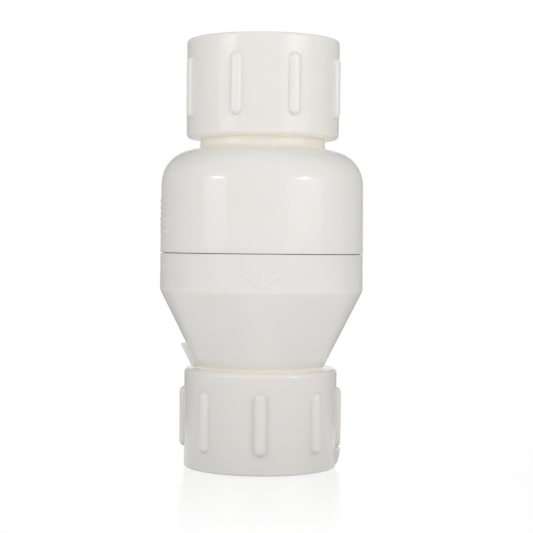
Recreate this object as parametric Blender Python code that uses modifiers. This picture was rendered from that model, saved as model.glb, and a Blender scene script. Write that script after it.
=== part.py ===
"""In-line spring check valve for 2 inch pipe, standing on its outlet end.

The valve's axis is the Z axis and the outlet hub's face is at height 0. Fluid enters at the top,
pushes the poppet down against the spring and leaves through the cone. Heights and radii in the
part functions are in millimetres.
"""

import math

import bmesh
import bpy
from mathutils import Matrix, Vector

MM = 0.001

# Whole valve
TOTAL_LENGTH = 203.2
SEAM_HEIGHT = 101.8
SEAM_GAP = 0.5
GAP = 0.3

# End hubs, with 2 inch tapered pipe thread drawn at its minor diameter
HUB_RADIUS = 36.5
HUB_LENGTH = 47.2
INLET_HUB_LENGTH = 46.85
HUB_SHOULDER_ROUND = 2.3
INLET_RIM_ROUND = 1.5
OUTLET_RIM_ROUND = 0.9
THREAD_DEPTH = 25.4
THREAD_MINOR_RADIUS = 28.25
THREAD_TAPER = 1 / 32
THREAD_ENTRY_RADIUS = 30.6
SPIGOT_RADIUS = 29.95
SPIGOT_DEPTH = 19.0
BORE_RADIUS = 26.0

# Ribs on the hubs
RIB_COUNT = 8
RIB_RADIUS = 2.85
RIB_PROUD = 2.25
RIB_START = 9.1
RIB_LENGTH = 28.7
RIB_SEGMENTS = 10
GATE_PAD_PROUD = 2.1
GATE_PAD_FOOT = 1.6
GATE_PAD_SHOULDER = 4.0
GATE_PAD_FULL = 7.0
GATE_PAD_TOP = 9.2
GATE_PAD_WIDTH = 6.0

# Casings
SEAM_RADIUS = 48.65
BAND_RADIUS = 48.45
SHOULDER_TOP = 151.8
SHOULDER_ROUND = 18.0
SHOULDER_RADIUS = 48.35
BAND_FOOT = 84.2
CONE_FOOT = HUB_LENGTH + GAP
CONE_FOOT_RADIUS = 30.0
WALL = 4.5
CONE_WALL = WALL + 0.55
CONE_INSIDE_TOP = 80.2
JOINT_RADIUS = 45.0
JOINT_FOOT = 91.7
JOINT_INNER_RADIUS = 40.6
JOINT_GROOVE_RADIUS = 42.6
JOINT_GROOVE_TOP = 98.7
JOINT_GROOVE_FOOT = 95.2
JOINT_RING_RADIUS = 43.95
JOINT_RING_SECTION = 1.05
MARK_PROUD = 0.6
LABEL_BAR_HEIGHT = 1.8
LABEL_BARS = ((9.0, 125.5), (10.5, 122.6), (7.0, 119.7), (10.0, 116.8), (8.0, 113.9), (6.0, 111.0))
ARROW_HALF_WIDTH = 10.0
ARROW_TOP = 97.6
ARROW_NECK = 92.4
ARROW_TIP = 86.0
FIN_TOP = 58.7
FIN_PROUD = 2.9
FIN_WIDTH = 3.0

# Seat, held in a collar under the inlet casing's shoulder
SEAT_OUTER_RADIUS = 33.0
SEAT_FACE = 138.5
SEAT_BODY_FOOT = 139.3
SEAT_TOP = 146.5
SEAT_GROOVE_RADIUS = 30.8
SEAT_GROOVE_TOP = 144.7
SEAT_GROOVE_FOOT = 142.1
SEAT_O_RING_RADIUS = 32.05
SEAT_O_RING_SECTION = 0.95
SEAT_LIP_ROOT_RADIUS = 28.9
SEAT_LIP_OUTER_RADIUS = 28.3
SEAT_LIP_INNER_RADIUS = 26.7
SNAP_RING_RADIUS = 34.4
SNAP_RING_INNER_RADIUS = 31.4
SNAP_RING_THICKNESS = 1.2
SNAP_GROOVE_DEPTH = 1.4
SNAP_GROOVE_HEIGHT = 1.8
COLLAR_WALL = 3.7
COLLAR_LIP = 136.2

# Poppet
TRAVEL = 15.0
STEM_RADIUS = 4.0
STEM_HOLE_RADIUS = STEM_RADIUS + GAP
STEM_TOP = 154.0
STEM_FOOT = 69.5
COLLAR_TOP = 130.2
COLLAR_FOOT = 127.7
DISC_RADIUS = 31.0
DISC_TOP = 137.0
DISC_RIM_FOOT = 132.0
DISC_UNDERSIDE = 128.0
SEAL_FLOOR = 134.9
SLEEVE_FOOT = 121.0
RETAINER_RADIUS = 24.9
RETAINER_TOP = 144.1
RETAINER_NOSE_RADIUS = 8.5
SEAL_RADIUS = 29.7
SEAL_INNER_RADIUS = 17.8
STEM_COLLAR_RADIUS = 9.0
CLIP_GROOVE_TOP = 76.5
CLIP_GROOVE_FOOT = 74.9
NUT_FOOT = 146.3
NUT_HEIGHT = 6.5
NUT_ACROSS_FLATS = 13.0
LOCK_WASHER_RADIUS = 7.2
END_WASHER_RADIUS = 8.0
CLIP_RADIUS = 6.6

# Guide spider and spring
CUP_OUTER_RADIUS = 16.5
CUP_INNER_RADIUS = 12.6
CUP_FLOOR = 91.0
CUP_TOP = SLEEVE_FOOT - TRAVEL - 3.4
BUSH_RADIUS = 6.0
BUSH_BORE_RADIUS = 4.07
BUSH_FOOT = 78.3
SPIDER_FLANGE_FOOT = 88.4
DRUM_RADIUS = 41.7
DRUM_FOOT = 82.0
DRUM_WALL = 2.7
ARM_COUNT = 4
ARM_THICKNESS = 4.0
ARM_LENGTH = 31.5
ARM_MIDDLE_RADIUS = 24.5
ARM_HEIGHT = 7.4
ARM_MIDDLE = 86.3
BUMPER_RADIUS = 16.2
BUMPER_INNER_RADIUS = 12.9
SPRING_WASHER_RADIUS = 12.3
SPRING_WASHER_INNER_RADIUS = 8.4
THRUST_WASHER_RADIUS = 12.4
SPRING_RADIUS = 10.4
WIRE_RADIUS = 0.9
SPRING_FOOT = 92.6
SPRING_TOP = 125.6
SPRING_TURNS = 8
DEAD_COIL_PITCH = 1.95

# Turns about the axis, from +X; the front faces -Y
FRONT = math.radians(-90)
OUTLET_RIB_TURNS = [FRONT + math.tau * index / RIB_COUNT for index in range(RIB_COUNT)]
INLET_RIB_TURNS = [turn + math.radians(23.3) for turn in OUTLET_RIB_TURNS]
INLET_RIB_TURNS[-1] += math.radians(1.9)
GATE_PAD_TURN = FRONT + math.radians(84)
FIN_TURN = FRONT - math.radians(82)
LABEL_TURN = FRONT - math.radians(73)

# Fineness of the round pieces
BODY_SEGMENTS = 48
MIDDLE_SEGMENTS = 32
INNER_SEGMENTS = 24
SMALL_ARC_STEPS = 2
LARGE_ARC_STEPS = 6
LARGE_ARC_RADIUS = 5.0
COIL_STEPS = 12


def clear_scene():
    for obj in list(bpy.data.objects):
        bpy.data.objects.remove(obj, do_unlink=True)


def make_collection(name):
    collection = bpy.data.collections.new(name)
    bpy.context.scene.collection.children.link(collection)
    return collection


def make_material(name, colour, roughness, metallic=0.0):
    material = bpy.data.materials.new(name)
    material.use_nodes = True
    shader = material.node_tree.nodes["Principled BSDF"]
    shader.inputs["Base Color"].default_value = (*colour, 1.0)
    shader.inputs["Roughness"].default_value = roughness
    shader.inputs["Metallic"].default_value = metallic
    return material


def pvc(name):
    return make_material(name, (0.80, 0.78, 0.74), 0.35)


def rubber(name):
    return make_material(name, (0.02, 0.02, 0.022), 0.7)


def stainless(name):
    return make_material(name, (0.55, 0.55, 0.54), 0.28, 1.0)


def acetal(name):
    return make_material(name, (0.75, 0.74, 0.68), 0.45)


def corner_arc(before, here, after, rounding):
    """Points of the arc that rounds one corner of an outline."""
    to_before = (before - here).normalized()
    to_after = (after - here).normalized()
    half_angle = to_before.angle(to_after) / 2
    centre = here + (to_before + to_after).normalized() * rounding / math.sin(half_angle)
    setback = rounding / math.tan(half_angle)
    first = (here + to_before * setback - centre).normalized()
    last = (here + to_after * setback - centre).normalized()
    steps = LARGE_ARC_STEPS if rounding > LARGE_ARC_RADIUS else SMALL_ARC_STEPS
    return [centre + first.slerp(last, step / steps) * rounding for step in range(steps + 1)]


def arc_points(centre, radius, first_angle, last_angle):
    """Points (radius, height) along an arc of an outline."""
    points = []
    for step in range(LARGE_ARC_STEPS + 1):
        angle = first_angle + (last_angle - first_angle) * step / LARGE_ARC_STEPS
        points.append((centre[0] + radius * math.cos(angle), centre[1] + radius * math.sin(angle)))
    return points


def rounded_outline(corners):
    """Turn (radius, height) or (radius, height, rounding) corners into outline points."""
    places = [Vector((corner[0], 0, corner[1])) for corner in corners]
    points = []
    for index, corner in enumerate(corners):
        if len(corner) == 2:
            points.append(places[index])
            continue
        after = places[(index + 1) % len(places)]
        points.extend(corner_arc(places[index - 1], places[index], after, corner[2]))
    return points


def add_object(name, data, collection, material=None):
    obj = bpy.data.objects.new(name, data)
    collection.objects.link(obj)
    if material:
        data.materials.append(material)
    return obj


def settle(obj):
    """Keep the object's finished mesh, shaded smooth except at its real edges."""
    depsgraph = bpy.context.evaluated_depsgraph_get()
    mesh = bpy.data.meshes.new_from_object(obj.evaluated_get(depsgraph))
    obj.modifiers.clear()
    obj.data = mesh
    mesh.shade_smooth()
    mesh.set_sharp_from_angle(angle=math.radians(32))


def turned(name, corners, collection, material=None, segments=INNER_SEGMENTS):
    """A turned piece from an outline that runs down its outer side."""
    foot = min(corner[1] for corner in corners)
    points = [(point - Vector((0, 0, foot))) * MM for point in rounded_outline(corners)]
    edges = [(index, index + 1) for index in range(len(points) - 1)]
    if corners[0][0] > 0:
        edges.append((len(points) - 1, 0))
    mesh = bpy.data.meshes.new(name)
    mesh.from_pydata(points, edges, [])
    obj = add_object(name, mesh, collection, material)
    obj.location.z = foot * MM
    screw = obj.modifiers.new("turn", "SCREW")
    screw.axis = "Z"
    screw.angle = math.tau
    screw.steps = segments
    screw.render_steps = segments
    screw.use_merge_vertices = True
    screw.merge_threshold = 0.00001
    settle(obj)
    return obj


def washer(name, inner_radius, outer_radius, foot, top, collection, material):
    """A flat ring."""
    corners = [
        (inner_radius, top),
        (outer_radius, top),
        (outer_radius, foot),
        (inner_radius, foot),
    ]
    return turned(name, corners, collection, material)


def o_ring(name, radius, section, height, collection, material):
    """A rubber ring with a round section."""
    steps = 8
    points = []
    for step in range(steps):
        angle = math.tau * step / steps
        points.append((radius + section * math.sin(angle), height + section * math.cos(angle)))
    return turned(name, points, collection, material, MIDDLE_SEGMENTS)


def box(name, size, centre, turn, collection):
    """A box turned about the valve's axis; its length runs outwards along X before the turn."""
    mesh = bpy.data.meshes.new(name)
    shape = bmesh.new()
    bmesh.ops.create_cube(shape, size=1.0)
    bmesh.ops.scale(shape, vec=Vector(size) * MM, verts=shape.verts)
    shape.to_mesh(mesh)
    shape.free()
    obj = add_object(name, mesh, collection)
    obj.location = Matrix.Rotation(turn, 3, "Z") @ Vector(centre) * MM
    obj.rotation_euler.z = turn
    return obj


def prism(name, outline, thickness, collection):
    """A flat shape drawn in X and Z, as thick as asked along Y."""
    mesh = bpy.data.meshes.new(name)
    shape = bmesh.new()
    verts = [shape.verts.new(Vector((x, -thickness / 2, z)) * MM) for x, z in outline]
    face = shape.faces.new(verts)
    made = bmesh.ops.extrude_face_region(shape, geom=[face])
    moved = [item for item in made["geom"] if isinstance(item, bmesh.types.BMVert)]
    bmesh.ops.translate(shape, verts=moved, vec=(0, thickness * MM, 0))
    bmesh.ops.recalc_face_normals(shape, faces=shape.faces)
    shape.to_mesh(mesh)
    shape.free()
    return add_object(name, mesh, collection)


def place(obj, radius, turn, facing_out=False):
    """Stand a flat shape at a turn about the axis, on edge or facing outwards."""
    obj.location = Matrix.Rotation(turn, 3, "Z") @ Vector((radius * MM, 0, 0))
    obj.rotation_euler.z = turn + math.pi / 2 if facing_out else turn


def combine(target, tool, operation):
    """Unite, cut or clip the target with a tool shape."""
    tool.hide_render = True
    tool.display_type = "WIRE"
    modifier = target.modifiers.new(tool.name, "BOOLEAN")
    modifier.operation = operation
    modifier.solver = "EXACT"
    modifier.object = tool


def rib_crown(name, foot, rib_turns, cutters):
    """Rounded ribs standing round a hub at the given turns, as one mesh."""
    outline = [
        (0, RIB_LENGTH),
        (RIB_RADIUS, RIB_LENGTH, 0.99 * RIB_RADIUS),
        (RIB_RADIUS, 0, 0.99 * RIB_RADIUS),
        (0, 0),
    ]
    rib = turned(name + "_single", outline, cutters, segments=RIB_SEGMENTS)
    shape = bmesh.new()
    stand = Matrix.Translation(Vector((HUB_RADIUS + RIB_PROUD - RIB_RADIUS, 0, foot)) * MM)
    for turn in rib_turns:
        copy = rib.data.copy()
        copy.transform(Matrix.Rotation(turn, 4, "Z") @ stand)
        shape.from_mesh(copy)
        bpy.data.meshes.remove(copy)
    bpy.data.objects.remove(rib)
    mesh = bpy.data.meshes.new(name)
    shape.to_mesh(mesh)
    shape.free()
    return add_object(name, mesh, cutters)


def hub_outline(length, rim_round):
    """Outline of a hub whose pipe end is at height 0."""
    thread_top_radius = THREAD_MINOR_RADIUS - THREAD_DEPTH * THREAD_TAPER
    entry_depth = THREAD_ENTRY_RADIUS - THREAD_MINOR_RADIUS
    stop_top = HUB_LENGTH - SPIGOT_DEPTH - GAP
    socket_radius = SPIGOT_RADIUS + GAP
    return [
        (socket_radius, length),
        (HUB_RADIUS, length, HUB_SHOULDER_ROUND),
        (HUB_RADIUS, 0, rim_round),
        (THREAD_ENTRY_RADIUS, 0),
        (THREAD_MINOR_RADIUS, entry_depth),
        (thread_top_radius, THREAD_DEPTH),
        (BORE_RADIUS, THREAD_DEPTH),
        (BORE_RADIUS, stop_top),
        (socket_radius, stop_top),
    ]


def outlet_hub(parts, cutters):
    """Lower hub, with a small pad where the moulding gate was trimmed."""
    outline = hub_outline(HUB_LENGTH, OUTLET_RIM_ROUND)
    hub = turned("outlet_hub", outline, parts, pvc("outlet_hub_pvc"), BODY_SEGMENTS)
    ribs = rib_crown("outlet_ribs", RIB_START, OUTLET_RIB_TURNS, cutters)
    combine(hub, ribs, "UNION")
    pad_outline = [
        (HUB_RADIUS - 1.0, GATE_PAD_FOOT),
        (HUB_RADIUS + 0.1, GATE_PAD_FOOT),
        (HUB_RADIUS + GATE_PAD_PROUD * 2 / 3, GATE_PAD_SHOULDER),
        (HUB_RADIUS + GATE_PAD_PROUD, GATE_PAD_FULL),
        (HUB_RADIUS + GATE_PAD_PROUD, GATE_PAD_TOP),
        (HUB_RADIUS - 1.0, GATE_PAD_TOP),
    ]
    pad = prism("gate_pad", pad_outline, GATE_PAD_WIDTH, cutters)
    place(pad, 0, GATE_PAD_TURN)
    combine(hub, pad, "UNION")
    return hub


def inlet_hub(parts, cutters):
    """The outlet hub's shape, a little shorter, upside down and turned about half a rib pitch."""
    corners = []
    for corner in reversed(hub_outline(INLET_HUB_LENGTH, INLET_RIM_ROUND)):
        corners.append((corner[0], TOTAL_LENGTH - corner[1], *corner[2:]))
    hub = turned("inlet_hub", corners, parts, pvc("inlet_hub_pvc"), BODY_SEGMENTS)
    ribs = rib_crown("inlet_ribs", TOTAL_LENGTH - RIB_START - RIB_LENGTH, INLET_RIB_TURNS, cutters)
    combine(hub, ribs, "UNION")
    return hub


def clip_to_surface(mark, radius, foot, top, cutters):
    """Give a raised mark the casing's curve, so that it stands proud by the same height all over."""
    corners = [
        (radius - 1.0, top),
        (radius + MARK_PROUD, top),
        (radius + MARK_PROUD, foot),
        (radius - 1.0, foot),
    ]
    band = turned(mark.name + "_band", corners, cutters, segments=BODY_SEGMENTS)
    combine(mark, band, "INTERSECT")


def flow_arrow(cutters):
    """Wide arrow on the front of the lower band, pointing from inlet to outlet."""
    outline = [
        (-ARROW_HALF_WIDTH / 2, ARROW_TOP),
        (ARROW_HALF_WIDTH / 2, ARROW_TOP),
        (ARROW_HALF_WIDTH / 2, ARROW_NECK),
        (ARROW_HALF_WIDTH, ARROW_NECK),
        (0, ARROW_TIP),
        (-ARROW_HALF_WIDTH, ARROW_NECK),
        (-ARROW_HALF_WIDTH / 2, ARROW_NECK),
    ]
    arrow = prism("flow_arrow", outline, 8.0, cutters)
    place(arrow, BAND_RADIUS, FRONT, facing_out=True)
    clip_to_surface(arrow, BAND_RADIUS, ARROW_TIP - 2, ARROW_TOP + 2, cutters)
    return arrow


def label_bar(index, half_width, foot, cutters):
    """One of the raised bars on the upper casing's side."""
    top = foot + LABEL_BAR_HEIGHT
    outline = [(-half_width, top), (half_width, top), (half_width, foot), (-half_width, foot)]
    bar = prism(f"label_bar_{index}", outline, 14.0, cutters)
    place(bar, SHOULDER_RADIUS - 4, LABEL_TURN, facing_out=True)
    clip_to_surface(bar, SHOULDER_RADIUS + 0.1, foot - 2, top + 2, cutters)
    return bar


def inlet_casing(parts, cutters):
    """Round-shouldered upper casing: spigot, shoulder, seat collar and the skirt of the seam joint."""
    spigot_top = TOTAL_LENGTH - HUB_LENGTH + SPIGOT_DEPTH
    seam = SEAM_HEIGHT + SEAM_GAP / 2
    inner_radius = SHOULDER_RADIUS - WALL
    shoulder_centre = (SHOULDER_RADIUS - SHOULDER_ROUND, SHOULDER_TOP - SHOULDER_ROUND)
    collar_radius = SEAT_OUTER_RADIUS + GAP
    collar_outer_radius = collar_radius + COLLAR_WALL
    inner_round = SHOULDER_ROUND - WALL
    collar_angle = math.acos((collar_outer_radius - shoulder_centre[0]) / inner_round)
    ring_groove_radius = collar_radius + SNAP_GROOVE_DEPTH
    ring_groove_foot = SEAT_BODY_FOOT - SNAP_GROOVE_HEIGHT
    corners = [
        (BORE_RADIUS, spigot_top),
        (SPIGOT_RADIUS, spigot_top, 0.8),
        (SPIGOT_RADIUS, SHOULDER_TOP, 0.4),
        (SHOULDER_RADIUS, SHOULDER_TOP, SHOULDER_ROUND - 0.01),
        (SEAM_RADIUS, seam, 0.4),
        (JOINT_RADIUS, seam),
        (JOINT_RADIUS, JOINT_GROOVE_TOP),
        (JOINT_GROOVE_RADIUS, JOINT_GROOVE_TOP),
        (JOINT_GROOVE_RADIUS, JOINT_GROOVE_FOOT),
        (JOINT_RADIUS, JOINT_GROOVE_FOOT),
        (JOINT_RADIUS, JOINT_FOOT),
        (JOINT_INNER_RADIUS, JOINT_FOOT),
        (JOINT_INNER_RADIUS, JOINT_GROOVE_TOP + 1.8),
        (inner_radius, JOINT_GROOVE_TOP + 7.3),
        *arc_points(shoulder_centre, inner_round, 0, collar_angle),
        (collar_outer_radius, COLLAR_LIP),
        (collar_radius, COLLAR_LIP),
        (collar_radius, ring_groove_foot),
        (ring_groove_radius, ring_groove_foot),
        (ring_groove_radius, SEAT_BODY_FOOT),
        (collar_radius, SEAT_BODY_FOOT),
        (collar_radius, SEAT_TOP + GAP),
        (BORE_RADIUS, SEAT_TOP + GAP),
    ]
    casing = turned("inlet_casing", corners, parts, pvc("inlet_casing_pvc"), BODY_SEGMENTS)
    for index, (half_width, foot) in enumerate(LABEL_BARS):
        combine(casing, label_bar(index, half_width, foot, cutters), "UNION")
    return casing


def cone_radius(height):
    slope = (BAND_RADIUS - CONE_FOOT_RADIUS) / (BAND_FOOT - CONE_FOOT)
    return CONE_FOOT_RADIUS + slope * (height - CONE_FOOT)


def outlet_casing(parts, cutters):
    """Lower casing: socket of the seam joint, band, cone and spigot."""
    spigot_foot = HUB_LENGTH - SPIGOT_DEPTH
    seam = SEAM_HEIGHT - SEAM_GAP / 2
    socket_radius = JOINT_RADIUS + GAP
    shelf = SPIDER_FLANGE_FOOT - GAP
    inner_foot = CONE_FOOT + 1.0
    corners = [
        (socket_radius, seam),
        (SEAM_RADIUS, seam, 0.4),
        (BAND_RADIUS, BAND_FOOT, 3.0),
        (CONE_FOOT_RADIUS, CONE_FOOT, 0.4),
        (SPIGOT_RADIUS, CONE_FOOT - GAP / 2),
        (SPIGOT_RADIUS, spigot_foot, 0.8),
        (BORE_RADIUS, spigot_foot),
        (BORE_RADIUS, inner_foot),
        (cone_radius(CONE_INSIDE_TOP) - CONE_WALL, CONE_INSIDE_TOP),
        (DRUM_RADIUS + GAP, CONE_INSIDE_TOP),
        (DRUM_RADIUS + GAP, shelf),
        (socket_radius, shelf),
    ]
    casing = turned("outlet_casing", corners, parts, pvc("outlet_casing_pvc"), BODY_SEGMENTS)
    combine(casing, flow_arrow(cutters), "UNION")
    fin_foot = CONE_FOOT + 0.6
    fin_outline = [
        (cone_radius(fin_foot) - 1, fin_foot),
        (cone_radius(fin_foot) + FIN_PROUD, fin_foot),
        (cone_radius(FIN_TOP) + FIN_PROUD, FIN_TOP),
        (cone_radius(FIN_TOP) - 1, FIN_TOP),
    ]
    fin = prism("cone_fin", fin_outline, FIN_WIDTH, cutters)
    place(fin, 0, FIN_TURN)
    combine(casing, fin, "UNION")
    return casing


def seat_ring(parts):
    """Ring with an O-ring groove outside and a narrow lip that the poppet's seal meets."""
    corners = [
        (BORE_RADIUS, SEAT_TOP),
        (SEAT_OUTER_RADIUS, SEAT_TOP),
        (SEAT_OUTER_RADIUS, SEAT_GROOVE_TOP),
        (SEAT_GROOVE_RADIUS, SEAT_GROOVE_TOP),
        (SEAT_GROOVE_RADIUS, SEAT_GROOVE_FOOT),
        (SEAT_OUTER_RADIUS, SEAT_GROOVE_FOOT),
        (SEAT_OUTER_RADIUS, SEAT_BODY_FOOT + GAP),
        (SEAT_LIP_ROOT_RADIUS, SEAT_BODY_FOOT + GAP),
        (SEAT_LIP_OUTER_RADIUS, SEAT_FACE),
        (SEAT_LIP_INNER_RADIUS, SEAT_FACE),
        (BORE_RADIUS, SEAT_BODY_FOOT + GAP),
    ]
    return turned("seat_ring", corners, parts, acetal("seat_ring_acetal"), MIDDLE_SEGMENTS)


def snap_ring(parts, cutters):
    """Open steel ring that keeps the seat ring in its collar."""
    top = SEAT_BODY_FOOT - GAP
    foot = top - SNAP_RING_THICKNESS
    steel = stainless("snap_ring_steel")
    ring = washer("seat_snap_ring", SNAP_RING_INNER_RADIUS, SNAP_RING_RADIUS, foot, top, parts, steel)
    middle = (SNAP_RING_RADIUS, 0, (foot + top) / 2)
    gap_tool = box("snap_ring_gap", (8, 9, 4), middle, math.radians(120), cutters)
    combine(ring, gap_tool, "DIFFERENCE")
    return ring


def spider(parts, cutters):
    """Cup for the spring on four arms inside a flanged drum."""
    cup_corners = [
        (CUP_INNER_RADIUS, CUP_TOP),
        (CUP_OUTER_RADIUS, CUP_TOP, 0.5),
        (CUP_OUTER_RADIUS, CUP_FLOOR - 3),
        (BUSH_RADIUS + 4, CUP_FLOOR - 12),
        (BUSH_RADIUS + GAP, CUP_FLOOR - 12),
        (BUSH_RADIUS + GAP, CUP_FLOOR),
        (CUP_INNER_RADIUS, CUP_FLOOR),
    ]
    frame = turned("guide_spider", cup_corners, parts, acetal("spider_acetal"))
    drum_corners = [
        (DRUM_RADIUS - DRUM_WALL, JOINT_FOOT - GAP),
        (JOINT_RADIUS, JOINT_FOOT - GAP),
        (JOINT_RADIUS, SPIDER_FLANGE_FOOT),
        (DRUM_RADIUS, SPIDER_FLANGE_FOOT),
        (DRUM_RADIUS, DRUM_FOOT),
        (DRUM_RADIUS - DRUM_WALL, DRUM_FOOT),
    ]
    drum = turned("spider_drum", drum_corners, cutters, segments=BODY_SEGMENTS)
    for index in range(ARM_COUNT):
        turn = math.radians(45) + math.tau * index / ARM_COUNT
        size = (ARM_LENGTH, ARM_THICKNESS, ARM_HEIGHT)
        arm = box(f"spider_arm_{index}", size, (ARM_MIDDLE_RADIUS, 0, ARM_MIDDLE), turn, cutters)
        combine(frame, arm, "UNION")
    combine(frame, drum, "UNION")
    return frame


def bush(parts):
    flange_foot = CUP_FLOOR + GAP
    corners = [
        (BUSH_BORE_RADIUS, flange_foot + 1.3),
        (BUSH_RADIUS + 2, flange_foot + 1.3),
        (BUSH_RADIUS + 2, flange_foot),
        (BUSH_RADIUS, flange_foot),
        (BUSH_RADIUS, BUSH_FOOT),
        (BUSH_BORE_RADIUS, BUSH_FOOT),
    ]
    return turned("guide_bush", corners, parts, acetal("guide_bush_acetal"))


def spring(parts):
    """Compression spring with one dead coil at each end."""
    height = SPRING_TOP - SPRING_FOOT - 2 * WIRE_RADIUS
    active_turns = SPRING_TURNS - 2
    active_pitch = (height - 2 * DEAD_COIL_PITCH) / active_turns
    curve = bpy.data.curves.new("spring", "CURVE")
    curve.dimensions = "3D"
    curve.bevel_depth = WIRE_RADIUS * MM
    curve.bevel_resolution = 2
    curve.use_fill_caps = True
    count = SPRING_TURNS * COIL_STEPS + 1
    wire = curve.splines.new("POLY")
    wire.points.add(count - 1)
    for index, point in enumerate(wire.points):
        turns = index / COIL_STEPS
        rise = DEAD_COIL_PITCH * min(turns, 1)
        rise += active_pitch * max(0, min(turns - 1, active_turns))
        rise += DEAD_COIL_PITCH * max(0, turns - 1 - active_turns)
        angle = math.tau * turns
        place_on_coil = Vector((math.cos(angle), math.sin(angle), 0)) * SPRING_RADIUS
        place_on_coil.z = WIRE_RADIUS + rise
        point.co = (*place_on_coil * MM, 1)
    obj = add_object("spring", curve, parts, stainless("spring_steel"))
    obj.location.z = SPRING_FOOT * MM
    return obj


def poppet_disc(parts):
    """Disc with a pocket for the seal above and a sleeve round the spring below."""
    sleeve_inner_radius = CUP_INNER_RADIUS + 0.6
    corners = [
        (STEM_HOLE_RADIUS, SEAL_FLOOR),
        (SEAL_RADIUS + GAP, SEAL_FLOOR),
        (SEAL_RADIUS + GAP, DISC_TOP),
        (DISC_RADIUS, DISC_TOP),
        (DISC_RADIUS, DISC_RIM_FOOT, 1.5),
        (CUP_OUTER_RADIUS - 0.5, DISC_UNDERSIDE),
        (CUP_OUTER_RADIUS - 0.5, SLEEVE_FOOT),
        (sleeve_inner_radius, SLEEVE_FOOT),
        (sleeve_inner_radius, COLLAR_TOP + GAP),
        (STEM_HOLE_RADIUS, COLLAR_TOP + GAP),
    ]
    return turned("poppet_disc", corners, parts, pvc("poppet_disc_pvc"), MIDDLE_SEGMENTS)


def seal_retainer(parts):
    """Cone-nosed plate whose boss centres the seal and whose rim holds it down."""
    boss_radius = SEAL_INNER_RADIUS - GAP
    corners = [
        (STEM_HOLE_RADIUS, RETAINER_TOP),
        (RETAINER_NOSE_RADIUS, RETAINER_TOP),
        (RETAINER_RADIUS, SEAT_FACE + 2.0, 1.0),
        (RETAINER_RADIUS, SEAT_FACE),
        (boss_radius, SEAT_FACE),
        (boss_radius, SEAL_FLOOR + GAP),
        (STEM_HOLE_RADIUS, SEAL_FLOOR + GAP),
    ]
    return turned("seal_retainer", corners, parts, stainless("seal_retainer_steel"))


def poppet_stem(parts):
    """Steel stem with a collar under the disc and a clip groove near its lower end."""
    corners = [
        (0, STEM_TOP),
        (STEM_RADIUS, STEM_TOP, 0.8),
        (STEM_RADIUS, COLLAR_TOP),
        (STEM_COLLAR_RADIUS, COLLAR_TOP),
        (STEM_COLLAR_RADIUS, COLLAR_FOOT),
        (STEM_RADIUS, COLLAR_FOOT),
        (STEM_RADIUS, CLIP_GROOVE_TOP),
        (STEM_RADIUS - 1, CLIP_GROOVE_TOP),
        (STEM_RADIUS - 1, CLIP_GROOVE_FOOT),
        (STEM_RADIUS, CLIP_GROOVE_FOOT),
        (STEM_RADIUS, STEM_FOOT, 0.8),
        (0, STEM_FOOT),
    ]
    return turned("poppet_stem", corners, parts, stainless("stem_steel"))


def lock_washer(parts, cutters):
    """Spring washer under the nut, split on one side."""
    foot = RETAINER_TOP + GAP
    top = NUT_FOOT - GAP
    steel = stainless("washer_steel")
    ring = washer("lock_washer", STEM_HOLE_RADIUS, LOCK_WASHER_RADIUS, foot, top, parts, steel)
    split = box("washer_split", (6, 0.8, 4), (6, 0, foot + 1), math.radians(60), cutters)
    combine(ring, split, "DIFFERENCE")
    return ring


def stem_nut(parts, cutters):
    """Hexagonal nut on the stem's upper end."""
    mesh = bpy.data.meshes.new("stem_nut")
    shape = bmesh.new()
    radius = NUT_ACROSS_FLATS / 2 / math.cos(math.pi / 6) * MM
    bmesh.ops.create_cone(
        shape, cap_ends=True, segments=6, radius1=radius, radius2=radius, depth=NUT_HEIGHT * MM
    )
    shape.to_mesh(mesh)
    shape.free()
    nut = add_object("stem_nut", mesh, parts, stainless("nut_steel"))
    nut.location.z = (NUT_FOOT + NUT_HEIGHT / 2) * MM
    bore = [
        (0, NUT_FOOT + NUT_HEIGHT + 1),
        (STEM_HOLE_RADIUS, NUT_FOOT + NUT_HEIGHT + 1),
        (STEM_HOLE_RADIUS, NUT_FOOT - 1),
        (0, NUT_FOOT - 1),
    ]
    combine(nut, turned("nut_bore", bore, cutters), "DIFFERENCE")
    return nut


def stem_clip(parts, cutters):
    """Open clip in the stem's groove."""
    foot = CLIP_GROOVE_FOOT + GAP
    top = CLIP_GROOVE_TOP - GAP
    steel = stainless("clip_steel")
    clip = washer("stem_clip", STEM_RADIUS - 0.7, CLIP_RADIUS, foot, top, parts, steel)
    mouth = box("clip_mouth", (8, 5.4, 4), (5.5, 0, foot), math.radians(-30), cutters)
    combine(clip, mouth, "DIFFERENCE")
    return clip


def build_casings(parts, cutters):
    inlet_casing(parts, cutters)
    outlet_casing(parts, cutters)
    inlet_hub(parts, cutters)
    outlet_hub(parts, cutters)
    height = (JOINT_GROOVE_TOP + JOINT_GROOVE_FOOT) / 2
    joint_rubber = rubber("casing_o_ring_rubber")
    o_ring("casing_o_ring", JOINT_RING_RADIUS, JOINT_RING_SECTION, height, parts, joint_rubber)


def build_seat(parts, cutters):
    seat_ring(parts)
    height = (SEAT_GROOVE_TOP + SEAT_GROOVE_FOOT) / 2
    seat_rubber = rubber("seat_o_ring_rubber")
    o_ring("seat_o_ring", SEAT_O_RING_RADIUS, SEAT_O_RING_SECTION, height, parts, seat_rubber)
    snap_ring(parts, cutters)


def build_guide(parts, cutters):
    spider(parts, cutters)
    bush(parts)
    foot = CUP_TOP + GAP
    top = SLEEVE_FOOT - TRAVEL - GAP
    bumper_rubber = rubber("bumper_rubber")
    washer("stop_bumper", BUMPER_INNER_RADIUS, BUMPER_RADIUS, foot, top, parts, bumper_rubber)
    foot = CUP_FLOOR + GAP
    top = SPRING_FOOT - GAP
    steel = stainless("lower_washer_steel")
    washer("lower_spring_washer", SPRING_WASHER_INNER_RADIUS, SPRING_WASHER_RADIUS, foot, top, parts, steel)
    spring(parts)


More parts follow.
